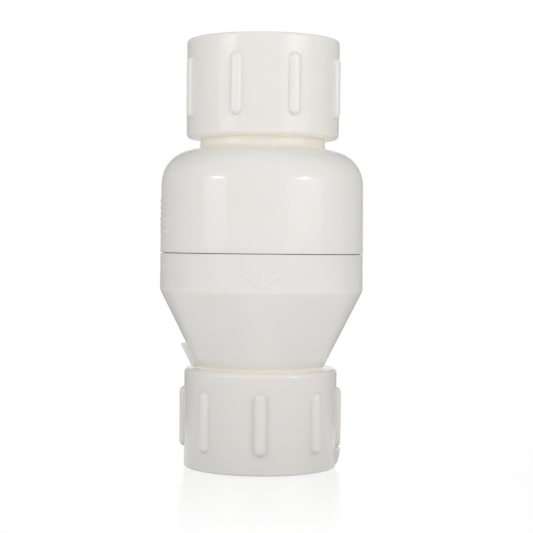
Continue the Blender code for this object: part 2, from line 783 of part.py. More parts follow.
def build_poppet(parts, cutters):
    """Everything that leaves the seat when the valve opens."""
    foot = SPRING_TOP + GAP
    top = COLLAR_FOOT - GAP
    thrust_steel = stainless("thrust_washer_steel")
    washer("thrust_washer", STEM_HOLE_RADIUS, THRUST_WASHER_RADIUS, foot, top, parts, thrust_steel)
    poppet_disc(parts)
    seal_foot = SEAL_FLOOR + GAP
    seal_top = SEAT_FACE - GAP
    seal_material = rubber("seal_rubber")
    washer("poppet_seal", SEAL_INNER_RADIUS, SEAL_RADIUS, seal_foot, seal_top, parts, seal_material)
    seal_retainer(parts)
    poppet_stem(parts)
    lock_washer(parts, cutters)
    stem_nut(parts, cutters)
    foot = CLIP_GROOVE_TOP
    top = BUSH_FOOT - 0.5
    end_steel = stainless("end_washer_steel")
    washer("stem_end_washer", STEM_HOLE_RADIUS, END_WASHER_RADIUS, foot, top, parts, end_steel)
    stem_clip(parts, cutters)


def main():
    clear_scene()
    parts = make_collection("check_valve")
    cutters = make_collection("cutters")
    cutters.hide_render = True
    build_casings(parts, cutters)
    build_seat(parts, cutters)
    build_guide(parts, cutters)
    build_poppet(parts, cutters)


main()
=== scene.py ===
"""Looks of the in-line spring check valve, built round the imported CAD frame.

Every piece is turned or swept again at full fineness, with the ribs, raised marks, pipe threads
and rounded edges that the plain solids leave out. Most end heights are read from the frame's
boxes. The other sizes are named or listed here, in millimetres unless a comment says otherwise.
"""

import math

import bmesh
import bpy
from mathutils import Matrix, Vector


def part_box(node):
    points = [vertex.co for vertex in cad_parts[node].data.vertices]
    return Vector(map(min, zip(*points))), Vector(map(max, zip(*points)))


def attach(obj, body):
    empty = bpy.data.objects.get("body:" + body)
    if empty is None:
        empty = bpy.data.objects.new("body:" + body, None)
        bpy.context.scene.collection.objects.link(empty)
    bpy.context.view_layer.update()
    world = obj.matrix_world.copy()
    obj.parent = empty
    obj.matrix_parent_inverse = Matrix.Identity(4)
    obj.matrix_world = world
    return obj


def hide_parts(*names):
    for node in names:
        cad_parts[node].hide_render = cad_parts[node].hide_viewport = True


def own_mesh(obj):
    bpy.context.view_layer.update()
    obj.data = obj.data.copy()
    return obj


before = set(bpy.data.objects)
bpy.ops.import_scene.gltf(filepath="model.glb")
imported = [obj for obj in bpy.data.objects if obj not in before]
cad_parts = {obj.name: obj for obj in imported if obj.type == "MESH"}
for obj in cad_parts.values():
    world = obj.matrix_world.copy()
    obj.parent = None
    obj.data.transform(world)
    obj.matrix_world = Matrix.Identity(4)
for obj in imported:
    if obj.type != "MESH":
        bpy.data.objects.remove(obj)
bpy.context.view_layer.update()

MM = 0.001
BODY = "valve_body"
FOLLOWER = "spring_follower"
POPPET = "poppet"
FRONT = math.radians(-90)

# Fineness
BODY_TURNS = 160
SMALL_TURNS = 96
ARC_STEP = math.radians(11)
FINE_STEP = 0.22
EDGE_ROUND = 0.25

# Hubs
RIB_RADIUS = 2.85
RIB_PROUD = 2.25
RIB_COUNT = 8
RIB_START = 9.1
RIB_LENGTH = 28.7
RIB_SQUARENESS = 2.2
RIB_STEEPNESS = 4.0
RIB_FILLET = 1.1
RIB_BAND = 4.2
OUTLET_RIB_TURNS = [FRONT + math.tau * index / RIB_COUNT for index in range(RIB_COUNT)]
INLET_RIB_TURNS = [turn + math.radians(23.3) for turn in OUTLET_RIB_TURNS]
INLET_RIB_TURNS[-1] += math.radians(1.9)
HUB_SHOULDER_ROUND = 2.3
INLET_RIM_ROUND = 1.5
OUTLET_RIM_ROUND = 0.9
THREAD_PITCH = 2.209
THREAD_HEIGHT = 1.6
THREAD_DEPTH = 25.4
THREAD_MINOR_RADIUS = 28.25
THREAD_ENTRY_RADIUS = 30.6
THREAD_TAPER = 1 / 32
BORE_RADIUS = 26.0
SPIGOT_RADIUS = 29.95
SPIGOT_DEPTH = 19.0
HUB_GAP = 0.3
CEMENT_GAP = 0.02
SEAM_GAP = 0.38
SEAM_HEIGHT = 101.8
SEAM_DEPTH = 1.4

# Raised details
LABEL_PROUD = 0.27
ARROW_PROUD = 0.22
ARROW_BAND = (84.0, 99.6)
MARK_EDGE = 0.45
LABEL_TURN = FRONT - math.radians(73)
LABEL_BARS = ((9.0, 125.5), (10.5, 122.6), (7.0, 119.7), (10.0, 116.8), (8.0, 113.9), (6.0, 111.0))
LABEL_BAR_HEIGHT = 1.8
FIN_TURN = FRONT - math.radians(82)
FIN_RADIUS = 33.0
FIN_PROUD = 2.9
FIN_TOP = 58.7
GATE_PAD_TURN = FRONT + math.radians(84)
GATE_PAD_PROUD = 2.1
GATE_PAD_FOOT = 1.6
GATE_PAD_FULL = 7.0
GATE_PAD_TOP = 9.2


def low_mm(node):
    return [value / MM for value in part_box(node)[0]]


def high_mm(node):
    return [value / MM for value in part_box(node)[1]]


# White PVC; the soak depth is in metres
PVC_COLOUR = (0.815, 0.795, 0.760)
PVC_SOAK = 0.4
PVC_SOAK_DEPTH = 0.006
PVC_SOAK_COLOUR = (1.0, 0.9, 0.7)
# Painted shade: the outlet hub, standing low by the floor, gets its white darkened because less light
# falls there
OUTLET_HUB_PAINTED_SHADE = 0.94
# Painted glow: warm emission that brightens the shaded neck, hub lip, cone foot and seam
GLOW_COLOUR = (1.0, 0.88, 0.66, 1.0)
NECK_GLOW = 0.06
LIP_GLOW = 0.085
CONTACT_GLOW = 0.16
SEAM_GLOW = 0.01

# Camera
CAMERA_DISTANCE = 710.8
CAMERA_HEIGHT = 107.0
CAMERA_PITCH = math.radians(-0.925)
CAMERA_YAW = math.radians(-0.193)
CAMERA_ROLL = math.radians(0.55)
CAMERA_LENS = 100.0
CAMERA_SENSOR = 36.0

# Studio: distances in metres, azimuths and heights in degrees
ROOM_LIGHT = 0.495
ROOM_FRONT = 0.18
ROOM_TOP = -0.02
CARD_LIGHT = 0.32
CARD_WIDENING = 2.0
FLOOR_BOUNCE = 0.76
FLOOR_BOUNCE_BEHIND = 0.34
FLOOR_BOUNCE_NEAR = 0.6
SOFTBOX_SIZE = 0.55
SOFTBOX_DISTANCE = 1.2
SOFTBOX_HEIGHT = 18
SOFTBOX_SHINE = 3.0
LEFT_SOFTBOX = -46
RIGHT_SOFTBOX = 50
WINDOW_DISTANCE = 2.0
WINDOW_SHINE = 1.42
STRIP_SHINE = 17.0
RIGHT_SOFTBOX_SHARE = 1.2
RIGHT_WINDOW_SHARE = 0.85
LEFT_WINDOW = (-68, -40, 1, 15)
RIGHT_WINDOW = (28, 72, 1, 15)
LEFT_STRIP = (-57, -44, 13.5, 16)
RIGHT_STRIP = (40, 56, 13.5, 16)
FLOOR_REACH = 4.0
FLOOR_DROP = 0.0002
FLOOR_ROUGHNESS = 0.16

# Heights and radii read from the frame
TOTAL = high_mm("inlet_hub")[2]
HUB_LENGTH = high_mm("outlet_hub")[2]
INLET_HUB_LENGTH = TOTAL - low_mm("inlet_hub")[2]
HUB_RADIUS = -low_mm("outlet_hub")[1] - RIB_PROUD
SEAM_RADIUS = high_mm("outlet_casing")[1]
JOINT_FOOT = low_mm("inlet_casing")[2]

# Walls of the casings
SEAM_TOP = SEAM_HEIGHT + SEAM_GAP / 2
SEAM_FOOT = SEAM_HEIGHT - SEAM_GAP / 2
SHOULDER_TOP = 151.1
SHOULDER_ROUND = 16.5
NECK_FILLET = 2.0
SHOULDER_RADIUS = 48.35
BAND_RADIUS = 48.45
BAND_FOOT = 84.2
CONE_FOOT = HUB_LENGTH + CEMENT_GAP
CONE_FOOT_RADIUS = 30.0
WALL = 4.5
CONE_WALL = 5.05
CONE_INSIDE_TOP = 80.2

# Joint at the seam: the inlet casing's skirt stands in the outlet casing's socket
SKIRT_RADIUS = 45.0
SKIRT_BORE_RADIUS = 40.6
SOCKET_RADIUS = 45.3
JOINT_GROOVE_RADIUS = 42.6
JOINT_GROOVE_FOOT = 95.2
JOINT_GROOVE_TOP = 98.7
GUIDE_SHELF = 88.1
GUIDE_SEAT_RADIUS = 42.0
JOINT_SEAL_RADIUS = 43.95
JOINT_SEAL_THICKNESS = 2.1

# Collar inside the inlet casing that carries the seat
COLLAR_RADIUS = 33.3
COLLAR_OUTER_RADIUS = 37.0
COLLAR_FOOT = 136.2
CLIP_GROOVE_TOP = 139.3
CLIP_GROOVE_HEIGHT = 1.8
CLIP_GROOVE_DEPTH = 1.4

# Seat
SEAT_RADIUS = 33.0
SEAT_GROOVE_RADIUS = 30.8
SEAT_GROOVE_FOOT = 142.1
SEAT_GROOVE_TOP = 144.7
SEAT_LIP_HEIGHT = 1.1
SEAT_SEAL_RADIUS = 32.05
SEAT_SEAL_THICKNESS = 1.9

# Poppet
STEM_RADIUS = 4.0
STEM_BORE_RADIUS = 4.3
STEM_THREAD_FOOT = 143.0
STEM_THREAD_PITCH = 1.25
STEM_THREAD_HEIGHT = 0.66
DISC_RADIUS = 31.0
SEAL_BED_RADIUS = 30.0
DISC_TOP = 134.9
DISC_RIM_TOP = 137.0
BOSS_RADIUS = 16.0
BOSS_FOOT = 121.0
NUT_CORNER_RADIUS = 7.4
NUT_FACE_RADIUS = 6.45
NUT_HALF_WIDTH = 6.5

# Guide
GUIDE_ARM_COUNT = 4
GUIDE_ARM_SIZE = (31.5, 4.0, 7.4)
GUIDE_ARM_CENTRE = (24.5, 0, 86.3)
CUP_TOP = 102.6
CUP_FOOT = 79.0
CUP_RADIUS = 16.5
CUP_BORE_RADIUS = 12.6
CUP_FLOOR = 91.0

# Spring
WIRE_RADIUS = 0.9
COIL_COUNT = 8
DEAD_PITCH = 1.95
GROUND = 0.35


# ---------------------------------------------------------------- outlines

def arc(centre, radius, first, last):
    """Points of an outline's arc, close enough together to look round."""
    steps = max(2, math.ceil(abs(last - first) / ARC_STEP))
    points = []
    for step in range(steps + 1):
        angle = first + (last - first) * step / steps
        points.append(Vector((centre[0] + radius * math.cos(angle), centre[1] + radius * math.sin(angle))))
    return points


def corner_arc(before, here, after, rounding):
    """Points of the arc that rounds one corner of an outline."""
    to_before = (before - here).normalized()
    to_after = (after - here).normalized()
    half_angle = to_before.angle(to_after) / 2
    setback = rounding / math.tan(half_angle)
    room = 0.45 * min((before - here).length, (after - here).length)
    if setback > room and rounding <= EDGE_ROUND:
        setback = room
        rounding = setback * math.tan(half_angle)
    centre = here + (to_before + to_after).normalized() * rounding / math.sin(half_angle)
    first = here + to_before * setback - centre
    last = here + to_after * setback - centre
    sweep = first.angle_signed(last)
    steps = max(2, math.ceil(abs(sweep) / ARC_STEP))
    return [centre + Matrix.Rotation(-sweep * step / steps, 2) @ first for step in range(steps + 1)]


def rounded(corners, closed=True):
    """Outline points from (radius, height[, rounding]) corners; plain corners get a fine edge round."""
    places = [Vector(corner[:2]) for corner in corners]
    points = []
    for index, corner in enumerate(corners):
        at_end = not closed and index in (0, len(corners) - 1)
        rounding = corner[2] if len(corner) > 2 else EDGE_ROUND
        before = places[index - 1]
        after = places[(index + 1) % len(places)]
        straight = (places[index] - before).angle(after - places[index], 0) < ARC_STEP
        if at_end or rounding == 0 or straight:
            points.append(places[index])
        else:
            points.extend(corner_arc(before, places[index], after, rounding))
    return points


def even_turns(count):
    return [math.tau * index / count for index in range(count)]


def dense_turns(count, bands, step):
    """Even turns, with closer ones inside the (centre, half width) bands."""
    turns = set()
    for turn in even_turns(count):
        if all(abs(math.remainder(turn - centre, math.tau)) > half for centre, half in bands):
            turns.add(round(turn, 6))
    for centre, half in bands:
        steps = math.ceil(2 * half / step)
        for index in range(steps + 1):
            turns.add(round((centre - half + 2 * half * index / steps) % math.tau, 6))
    ordered = sorted(turns)
    kept = [ordered[0]]
    for turn in ordered[1:]:
        if turn - kept[-1] > step / 3:
            kept.append(turn)
    return kept


# ---------------------------------------------------------------- meshes

def skin(name, points, turns, shape=None, open_ends=False, solid=False):
    """Turns an outline about the axis; shape(radius, height, turn) may move each point."""
    verts = []
    for turn in turns:
        for point in points:
            radius, height = (point.x, point.y) if shape is None else shape(point.x, point.y, turn)
            verts.append((radius * math.cos(turn) * MM, radius * math.sin(turn) * MM, height * MM))
    rows = len(points)
    columns = len(turns)
    faces = []
    for column in range(columns - 1 if open_ends else columns):
        start = column * rows
        beside = (column + 1) % columns * rows
        for row in range(rows - 1 if solid else rows):
            below = (row + 1) % rows
            faces.append((start + row, start + below, beside + below, beside + row))
    if open_ends:
        faces.append(tuple(reversed(range(rows))))
        faces.append(tuple(range((columns - 1) * rows, columns * rows)))
    mesh = bpy.data.meshes.new(name)
    mesh.from_pydata(verts, [], faces)
    mesh.shade_smooth()
    return mesh


def finish_mesh(obj, weld=False):
    """Welds the points on the axis and keeps flat faces flat beside their rounded edges."""
    if weld:
        weld_points = obj.modifiers.new("weld", "WELD")
        weld_points.merge_threshold = 0.000001
    normals = obj.modifiers.new("normals", "WEIGHTED_NORMAL")
    normals.keep_sharp = True


def piece(name, mesh, material, body, nodes, weld=False):
    obj = bpy.data.objects.new(name, mesh)
    bpy.context.scene.collection.objects.link(obj)
    mesh.materials.append(material)
    finish_mesh(obj, weld)
    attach(obj, body)
    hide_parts(*nodes)
    return obj


# ---------------------------------------------------------------- materials

class Nodes:
    """Node tree of the world or of a material."""

    def __init__(self, owner):
        owner.use_nodes = True
        self.tree = owner.node_tree
        self.tree.nodes.clear()

    def feed(self, socket, value):
        if isinstance(value, bpy.types.NodeSocket):
            self.tree.links.new(value, socket)
        else:
            socket.default_value = value

    def add(self, kind, inputs=None, **settings):
        made = self.tree.nodes.new(kind)
        for key, value in settings.items():
            setattr(made, key, value)
        for key, value in (inputs or {}).items():
            self.feed(made.inputs[key], value)
        return made

    def math(self, operation, *values):
        return self.add("ShaderNodeMath", dict(enumerate(values)), operation=operation).outputs[0]

    def span(self, value, from_low, from_high, low, high, smooth=False):
        kind = "SMOOTHSTEP" if smooth else "LINEAR"
        inputs = {"Value": value, "From Min": from_low, "From Max": from_high}
        inputs.update({"To Min": low, "To Max": high})
        return self.add("ShaderNodeMapRange", inputs, interpolation_type=kind).outputs["Result"]

    def choose(self, factor, first, second):
        return self.add("ShaderNodeMixShader", {0: factor, 1: first, 2: second}).outputs[0]


class Shader(Nodes):
    """A material for a piece, with noises placed in metres on the piece."""

    def __init__(self, name):
        self.material = bpy.data.materials.new(name)
        self.material.use_nodes = True
        self.tree = self.material.node_tree
        self.main = self.tree.nodes["Principled BSDF"]
        self.place = self.add("ShaderNodeTexCoord").outputs["Object"]

    def noise(self, scale, detail=3.0, vector=None, roughness=0.5):
        inputs = {"Vector": vector or self.place, "Scale": scale, "Detail": detail, "Roughness": roughness}
        return self.add("ShaderNodeTexNoise", inputs).outputs["Fac"]

    def vary(self, noise, low, high):
        return self.span(noise, 0.3, 0.7, low, high)

    def mix(self, noise, first, second):
        made = self.add("ShaderNodeMix", data_type="RGBA")
        self.feed(made.inputs["Factor"], self.vary(noise, 0.0, 1.0))
        self.feed(made.inputs[6], first)
        self.feed(made.inputs[7], second)
        return made.outputs[2]

    def bump(self, height, distance, strength=1.0, below=None):
        inputs = {"Height": height, "Distance": distance, "Strength": strength}
        if below is not None:
            inputs["Normal"] = below
        return self.add("ShaderNodeBump", inputs).outputs["Normal"]

    def set(self, **inputs):
        for key, value in inputs.items():
            self.feed(self.main.inputs[key.replace("_", " ")], value)
        return self.material


def ring_distance(shader, radius, height):
    """Distance, in metres, from a circle about the axis given in millimetres."""
    parts = shader.add("ShaderNodeSeparateXYZ", {"Vector": shader.place}).outputs
    flat = shader.add("ShaderNodeCombineXYZ", {"X": parts["X"], "Y": parts["Y"]}).outputs["Vector"]
    from_axis = shader.add("ShaderNodeVectorMath", {0: flat}, operation="LENGTH").outputs["Value"]
    outward = shader.math("SUBTRACT", from_axis, radius * MM)
    upward = shader.math("SUBTRACT", parts["Z"], height * MM)
    away = shader.add("ShaderNodeCombineXYZ", {"X": outward, "Y": upward}).outputs["Vector"]
    return shader.add("ShaderNodeVectorMath", {0: away}, operation="LENGTH").outputs["Value"]


def painted_glow(shader):
    """Painted glow that brightens the shaded neck, lips, foot and seam, standing in for light coming
    through the plastic.

    Each ring gives its radius, its height, its strength and the distances where the glow starts to
    fade and has gone.
    """
    hub_foot = TOTAL - INLET_HUB_LENGTH
    rings = (
        (SPIGOT_RADIUS, (SHOULDER_TOP + hub_foot) / 2, NECK_GLOW, 1.0, 7.0),
        (HUB_RADIUS - 4.0, hub_foot, LIP_GLOW, 2.5, 5.0),
        (SPIGOT_RADIUS, HUB_LENGTH, CONTACT_GLOW, 0.2, 1.8),
        (SEAM_RADIUS - 1.2, SEAM_HEIGHT, SEAM_GLOW, 1.3, 1.8),
    )
    total = 0.0
    for radius, height, strength, full, reach in rings:
        away = ring_distance(shader, radius, height)
        total = shader.math("ADD", shader.span(away, full * MM, reach * MM, strength, 0.0), total)
    return total


def pvc(name, painted_shade=1.0, glows=True):
    """Glossy moulded white PVC: faint mottling and orange peel, light that soaks in a little, and a
    painted glow in shaded places; it can also be darkened as painted shade.
    """
    shader = Shader(name)
    if glows:
        # Painted glow, as emission, in the shaded neck, lips, foot and seam
        shader.set(Emission_Color=GLOW_COLOUR, Emission_Strength=painted_glow(shader))
        shader.material.cycles.emission_sampling = "NONE"
    # A factor below 1 darkens the white as painted shade
    clean = tuple(value * painted_shade for value in PVC_COLOUR) + (1.0,)
    dull = tuple(value * part for value, part in zip(clean, (0.985, 0.982, 0.975))) + (1.0,)
    base = shader.mix(shader.noise(45.0, 4.0), clean, dull)
    peel = shader.bump(shader.noise(1400.0, 2.0), 0.00001, 0.4)
    wave = shader.bump(shader.noise(60.0, 1.0), 0.0002, 0.3, peel)
    roughness = shader.vary(shader.noise(160.0, 4.0), 0.12, 0.17)
    shader.set(Subsurface_Weight=PVC_SOAK, Subsurface_Radius=PVC_SOAK_COLOUR)
    shader.set(Subsurface_Scale=PVC_SOAK_DEPTH)
    return shader.set(Base_Color=base, Roughness=roughness, Normal=wave)


def steel(name, grain=2600.0):
    """Turned stainless steel: fine rings about the axis."""
    shader = Shader(name)
    parts = shader.add("ShaderNodeSeparateXYZ", {"Vector": shader.place}).outputs
    across = shader.math("MULTIPLY", parts["X"], parts["X"])
    along = shader.math("MULTIPLY", parts["Y"], parts["Y"])
    radius = shader.math("SQRT", shader.math("ADD", across, along))
    rings = shader.add("ShaderNodeCombineXYZ", {"X": radius, "Y": parts["Z"], "Z": 0.0}).outputs["Vector"]
    turned_marks = shader.noise(grain, 3.0, rings)
    stain = shader.noise(120.0, 3.0)
    base = shader.mix(stain, (0.62, 0.61, 0.59, 1), (0.50, 0.49, 0.475, 1))
    roughness = shader.vary(turned_marks, 0.18, 0.38)
    normal = shader.bump(turned_marks, 0.00002, 0.6)
    return shader.set(Base_Color=base, Metallic=1.0, Roughness=roughness, Normal=normal)


def rubber(name):
    """Black moulded rubber with a fine grain and a little bloom."""
    shader = Shader(name)
    bloom = shader.noise(260.0, 5.0)
    base = shader.mix(bloom, (0.018, 0.018, 0.019, 1), (0.045, 0.044, 0.043, 1))
    normal = shader.bump(shader.noise(3200.0, 3.0), 0.00003, 0.7)
    roughness = shader.vary(bloom, 0.5, 0.72)
    return shader.set(Base_Color=base, Roughness=roughness, Normal=normal)


def acetal(name):
    """Satin, slightly milky moulded acetal."""
    shader = Shader(name)
    cloud = shader.noise(70.0, 4.0)
    base = shader.mix(cloud, (0.76, 0.75, 0.70, 1), (0.70, 0.685, 0.63, 1))
    normal = shader.bump(shader.noise(1700.0, 2.0), 0.00003, 0.6)
    roughness = shader.vary(shader.noise(300.0, 3.0), 0.42, 0.55)
    return shader.set(Base_Color=base, Roughness=roughness, Normal=normal)


# ---------------------------------------------------------------- raised details

def smooth_step(value):
    value = min(1.0, max(0.0, value))
    return value * value * (3 - 2 * value)


def smooth_max(first, second, blend):
    """The larger of two heights, filleted where they cross."""
    gap = max(blend - abs(first - second), 0.0) / blend
    return max(first, second) + gap * gap * blend / 4


def around(turn, centre, radius):
    """Distance along the surface from a turn, positive towards larger turns."""
    return math.remainder(turn - centre, math.tau) * radius


def rib_height(turn, height, foot, rib_turns):
    """How far the ribs stand out of a hub's wall at one point."""
    aside = min(abs(around(turn, rib_turn, HUB_RADIUS)) for rib_turn in rib_turns)
    if aside > RIB_RADIUS + RIB_FILLET:
        return 0.0
    low_centre = foot + RIB_RADIUS
    high_centre = foot + RIB_LENGTH - RIB_RADIUS
    beyond = max(low_centre - height, height - high_centre, 0.0)
    share = math.hypot(aside, beyond) / RIB_RADIUS
    if share < 0.995:
        rib = RIB_PROUD * math.sqrt(1 - share**RIB_SQUARENESS)
    else:
        rib = RIB_STEEPNESS * (0.995 - share) * RIB_RADIUS
    return smooth_max(rib, 0.0, RIB_FILLET) if rib > -RIB_FILLET else 0.0


def box_distance(aside, upward, half_width, half_height):
    """Distance outside a rectangle's edge, negative inside."""
    over_side = abs(aside) - half_width
    over_top = abs(upward) - half_height
    outside = math.hypot(max(over_side, 0.0), max(over_top, 0.0))
    return outside + min(max(over_side, over_top), 0.0)


def polygon_distance(aside, upward, corners):
    """Distance outside a closed outline, negative inside."""
    here = Vector((aside, upward))
    nearest = 1e9
    inside = False
    for first, second in zip(corners, corners[1:] + corners[:1]):
        start = Vector(first)
        along = Vector(second) - start
        share = min(1.0, max(0.0, (here - start).dot(along) / along.length_squared))
        nearest = min(nearest, (here - start - along * share).length)
        if (first[1] > upward) != (second[1] > upward):
            crossing = first[0] + (upward - first[1]) * (second[0] - first[0]) / (second[1] - first[1])
            inside = inside != (aside < crossing)
    return -nearest if inside else nearest


def raised(distance, proud, edge=MARK_EDGE):
    """Height of a moulded mark whose side walls slope over the given edge width."""
    return proud * smooth_step(0.5 - distance / edge)


ARROW = [(-5.0, 97.6), (5.0, 97.6), (5.0, 92.4), (10.0, 92.4), (0.0, 86.0), (-10.0, 92.4), (-5.0, 92.4)]


def arrow_height(turn, height):
    distance = polygon_distance(around(turn, FRONT, SEAM_RADIUS), height, ARROW)
    return raised(distance, ARROW_PROUD)


def label_height(turn, height):
    proud = 0.0
    aside = around(turn, LABEL_TURN, SEAM_RADIUS)
    for half_width, foot in LABEL_BARS:
        middle = foot + LABEL_BAR_HEIGHT / 2
        distance = box_distance(aside, height - middle, half_width, LABEL_BAR_HEIGHT / 2)
        proud = max(proud, raised(distance, LABEL_PROUD))
    return proud


def fin_height(turn, height):
    """A short upright fin at the foot of the cone, with a blunt top."""
    aside = around(turn, FIN_TURN, FIN_RADIUS)
    foot = CONE_FOOT + 0.4
    distance = box_distance(aside, height - (FIN_TOP + foot) / 2, 1.5, (FIN_TOP - foot) / 2)
    return raised(distance, FIN_PROUD, 0.6)


def gate_pad_height(turn, height):
    """Trimmed gate near the outlet hub's rim, thinning towards the rim."""
    aside = around(turn, GATE_PAD_TURN, HUB_RADIUS)
    middle = (GATE_PAD_TOP + GATE_PAD_FOOT) / 2
    distance = box_distance(aside, height - middle, 3.0, GATE_PAD_TOP - middle)
    share = (height - GATE_PAD_FOOT) / (GATE_PAD_FULL - GATE_PAD_FOOT)
    proud = GATE_PAD_PROUD * math.sqrt(min(1.0, max(0.0, share)))
    return raised(distance, proud, 0.7)


# ---------------------------------------------------------------- hubs

def pipe_thread(depth, turn, radius):
    """Radius of the tapered pipe thread's wall, cut outwards from its minor diameter."""
    phase = (depth / THREAD_PITCH - turn / math.tau) % 1.0
    flank = min(1.0, max(0.0, abs(2 * phase - 1) * 1.16 - 0.08))
    fade = smooth_step((THREAD_DEPTH - 0.8 - depth) / 3.0)
    return radius + THREAD_HEIGHT * flank * fade


def hub_corners(length, rim_round):
    """A hub with its pipe end at height 0."""
    stop_top = HUB_LENGTH - SPIGOT_DEPTH - HUB_GAP
    socket_radius = SPIGOT_RADIUS + CEMENT_GAP
    entry_depth = THREAD_ENTRY_RADIUS - THREAD_MINOR_RADIUS
    return [
        (socket_radius, length, 0.1),
        (HUB_RADIUS, length, HUB_SHOULDER_ROUND),
        (HUB_RADIUS, 0, rim_round),
        (THREAD_ENTRY_RADIUS, 0, 0.3),
        (THREAD_MINOR_RADIUS, entry_depth, 0),
        (THREAD_MINOR_RADIUS - THREAD_DEPTH * THREAD_TAPER, THREAD_DEPTH, 0),
        (BORE_RADIUS, THREAD_DEPTH),
        (BORE_RADIUS, stop_top),
        (socket_radius, stop_top),
    ]


def hub(name, length, rim_round, rib_turns, extra_bands=(), extra_height=None, upside_down=False):
    """A ribbed hub; extra_height(turn, height) may raise more of its wall, inside extra_bands."""
    points = rounded(hub_corners(length, rim_round))
    edge = RIB_BAND
    for low, high, step in (
        (RIB_START - edge, RIB_START + edge, FINE_STEP),
        (RIB_START + RIB_LENGTH - edge, RIB_START + RIB_LENGTH + edge, FINE_STEP),
        (RIB_START + edge, RIB_START + RIB_LENGTH - edge, 1.5),
    ):
        points = refine_wall(points, low, high, step, HUB_RADIUS)
    if extra_height:
        points = refine_wall(points, 0.0, RIB_START - edge, FINE_STEP, HUB_RADIUS)
    points = refine_thread(points)
    bands = [(turn, edge / HUB_RADIUS) for turn in rib_turns]
    turns = dense_turns(BODY_TURNS, [*bands, *extra_bands], FINE_STEP / HUB_RADIUS)

    def shape(radius, height, turn):
        if radius > HUB_RADIUS - 0.01:
            radius += rib_height(turn, height, RIB_START, rib_turns)
        if extra_height and radius > HUB_RADIUS - 1.0:
            radius += extra_height(turn, height)
        inside_thread = radius < THREAD_ENTRY_RADIUS and 0 < height < THREAD_DEPTH
        if inside_thread:
            direction = -turn if upside_down else turn
            radius = max(radius, pipe_thread(height, direction, thread_minor(height)))
        return radius, TOTAL - height if upside_down else height

    ordered = list(reversed(points)) if upside_down else points
    return skin(name, ordered, turns, shape)


def thread_minor(depth):
    return THREAD_MINOR_RADIUS - depth * THREAD_TAPER


def refine_wall(points, low, high, step, radius):
    """Adds points to an upright wall at one radius, between two heights."""
    fine = []
    for here, after in zip(points, points[1:] + points[:1]):
        fine.append(here)
        on_wall = abs(here.x - radius) < 0.001 and abs(after.x - radius) < 0.001
        if not on_wall:
            continue
        top = min(max(here.y, after.y), high)
        foot = max(min(here.y, after.y), low)
        if top - foot < step:
            continue
        count = math.ceil((top - foot) / step)
        heights = [foot + (top - foot) * index / count for index in range(count + 1)]
        for height in sorted(heights, reverse=here.y > after.y):
            if abs(height - here.y) > 0.01 and abs(height - after.y) > 0.01:
                fine.append(Vector((radius, height)))
    return fine


def refine_thread(points):
    """Adds points along the entry chamfer and the thread, a dozen to each pitch."""
    fine = []
    for here, after in zip(points, points[1:] + points[:1]):
        fine.append(here)
        in_bore = max(here.x, after.x) < THREAD_ENTRY_RADIUS and after.y - here.y > 1.0
        if in_bore and after.y < THREAD_DEPTH + 0.01:
            count = math.ceil((after.y - here.y) / (THREAD_PITCH / 12))
            fine.extend(here.lerp(after, index / count) for index in range(1, count))
    return fine


# ---------------------------------------------------------------- casings

def shoulder_points():
    """The neck's wall curving out over the round shoulder, as two arcs that meet smoothly."""
    centre = (SHOULDER_RADIUS - SHOULDER_ROUND, SHOULDER_TOP - SHOULDER_ROUND)
    across = SPIGOT_RADIUS + NECK_FILLET - centre[0]
    rise = math.sqrt((SHOULDER_ROUND + NECK_FILLET) ** 2 - across**2)
    meeting = math.atan2(rise, across)
    fillet_centre = (SPIGOT_RADIUS + NECK_FILLET, centre[1] + rise)
    hollow = arc(fillet_centre, NECK_FILLET, math.pi, math.pi + meeting)
    return hollow + arc(centre, SHOULDER_ROUND, meeting, 0)[1:]


def inlet_casing_points():
    inner_radius = SHOULDER_RADIUS - WALL
    centre = (SHOULDER_RADIUS - SHOULDER_ROUND, SHOULDER_TOP - SHOULDER_ROUND)
    inner_round = SHOULDER_ROUND - WALL
    collar_angle = math.acos((COLLAR_OUTER_RADIUS - centre[0]) / inner_round)
    spigot_top = high_mm("inlet_casing")[2]
    seat_top = high_mm("seat_ring")[2] + HUB_GAP
    groove_foot = CLIP_GROOVE_TOP - CLIP_GROOVE_HEIGHT
    groove_radius = COLLAR_RADIUS + CLIP_GROOVE_DEPTH
    corners = [(BORE_RADIUS, spigot_top), (SPIGOT_RADIUS, spigot_top, 0.8)]
    corners += [(point.x, point.y, 0) for point in shoulder_points()]
    corners += [
        (SEAM_RADIUS, SEAM_TOP, 0.3),
        (SKIRT_RADIUS, SEAM_TOP),
        (SKIRT_RADIUS, JOINT_GROOVE_TOP),
        (JOINT_GROOVE_RADIUS, JOINT_GROOVE_TOP),
        (JOINT_GROOVE_RADIUS, JOINT_GROOVE_FOOT),
        (SKIRT_RADIUS, JOINT_GROOVE_FOOT),
        (SKIRT_RADIUS, JOINT_FOOT),
        (SKIRT_BORE_RADIUS, JOINT_FOOT),
        (SKIRT_BORE_RADIUS, 100.5, 2.0),
        (inner_radius, 106.0, 3.0),
    ]
    arc_points = arc(centre, inner_round, 0, collar_angle)
    corners += [(point.x, point.y, 0) for point in arc_points]
    corners += [
        (COLLAR_OUTER_RADIUS, COLLAR_FOOT, 0.5),
        (COLLAR_RADIUS, COLLAR_FOOT, 0.5),
        (COLLAR_RADIUS, groove_foot),
        (groove_radius, groove_foot),
        (groove_radius, CLIP_GROOVE_TOP),
        (COLLAR_RADIUS, CLIP_GROOVE_TOP),
        (COLLAR_RADIUS, seat_top),
        (BORE_RADIUS, seat_top),
    ]
    return rounded(corners)


